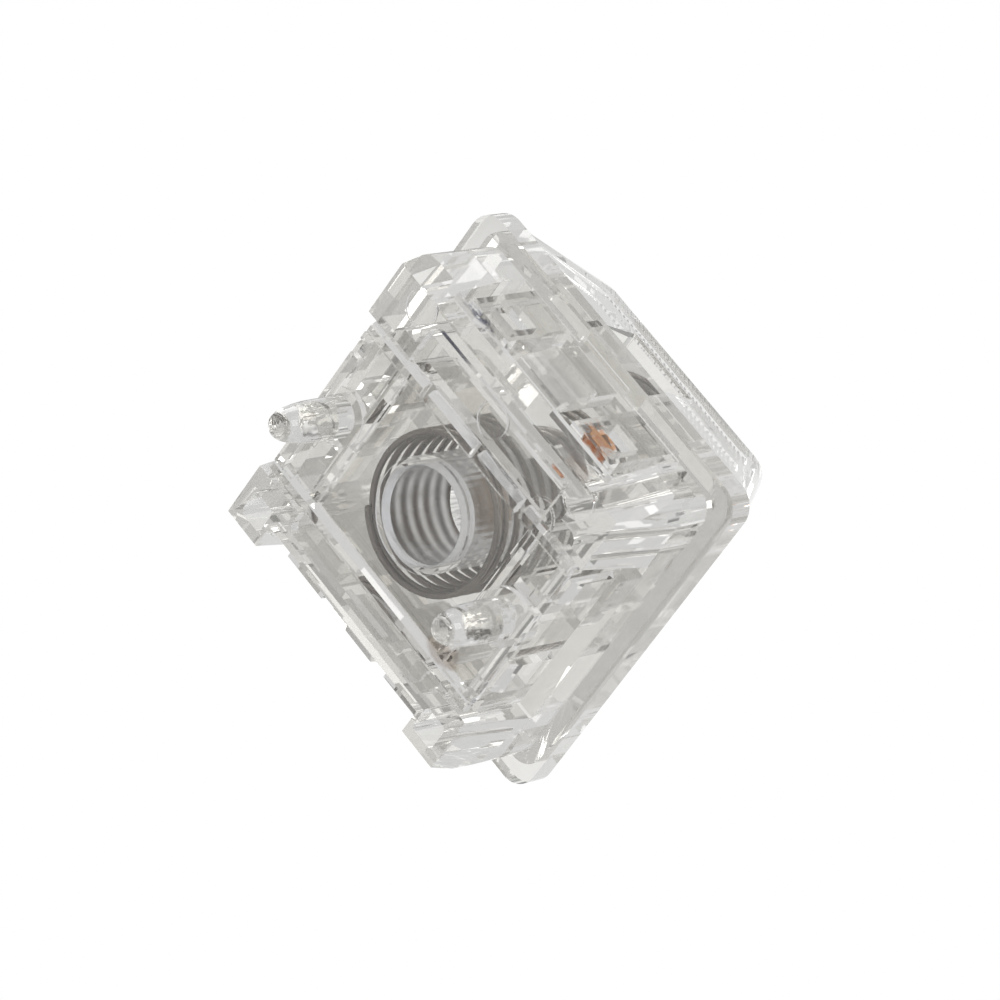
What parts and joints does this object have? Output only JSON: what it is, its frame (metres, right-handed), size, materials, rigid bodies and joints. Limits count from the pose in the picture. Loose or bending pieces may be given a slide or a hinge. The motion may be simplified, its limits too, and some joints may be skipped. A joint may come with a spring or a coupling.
{
  "type": "keyboard switch",
  "caption": "Clear keyboard switch with a clip-on upper housing, a sprung sliding stem with a cross post, and locating pins underneath.",
  "frame": {"origin": "on the switch's axis, on the plane where the underside of the flange rests on the keyboard's plate", "axes": "+Z towards the keycap, X through the two locating pins, and the latches on the -Y and +Y sides, with the light window on -Y"},
  "size_m": [0.0156, 0.0156, 0.0185],
  "materials": {
    "lower_housing": "clear moulded polycarbonate, glossy",
    "upper_housing": "clear moulded polycarbonate, glossy",
    "stem": "clear moulded plastic, glossy",
    "magnet": "bright nickel plate",
    "return_spring": "drawn stainless steel wire"
  },
  "bodies": {
    "housing": {"lower_housing": "lower_housing", "upper_housing": "upper_housing", "return_spring": "return_spring"},
    "stem": {"stem": "stem", "magnet": "magnet"}
  },
  "joints": [
    {"name": "stem_travel", "type": "slide", "parent": "housing", "child": "stem", "axis": [0, 0, -1], "range_m": [0, 0.004], "stiffness_N_per_m": 62, "springref_m": -0.0048, "deforming": ["return_spring"]}
  ]
}
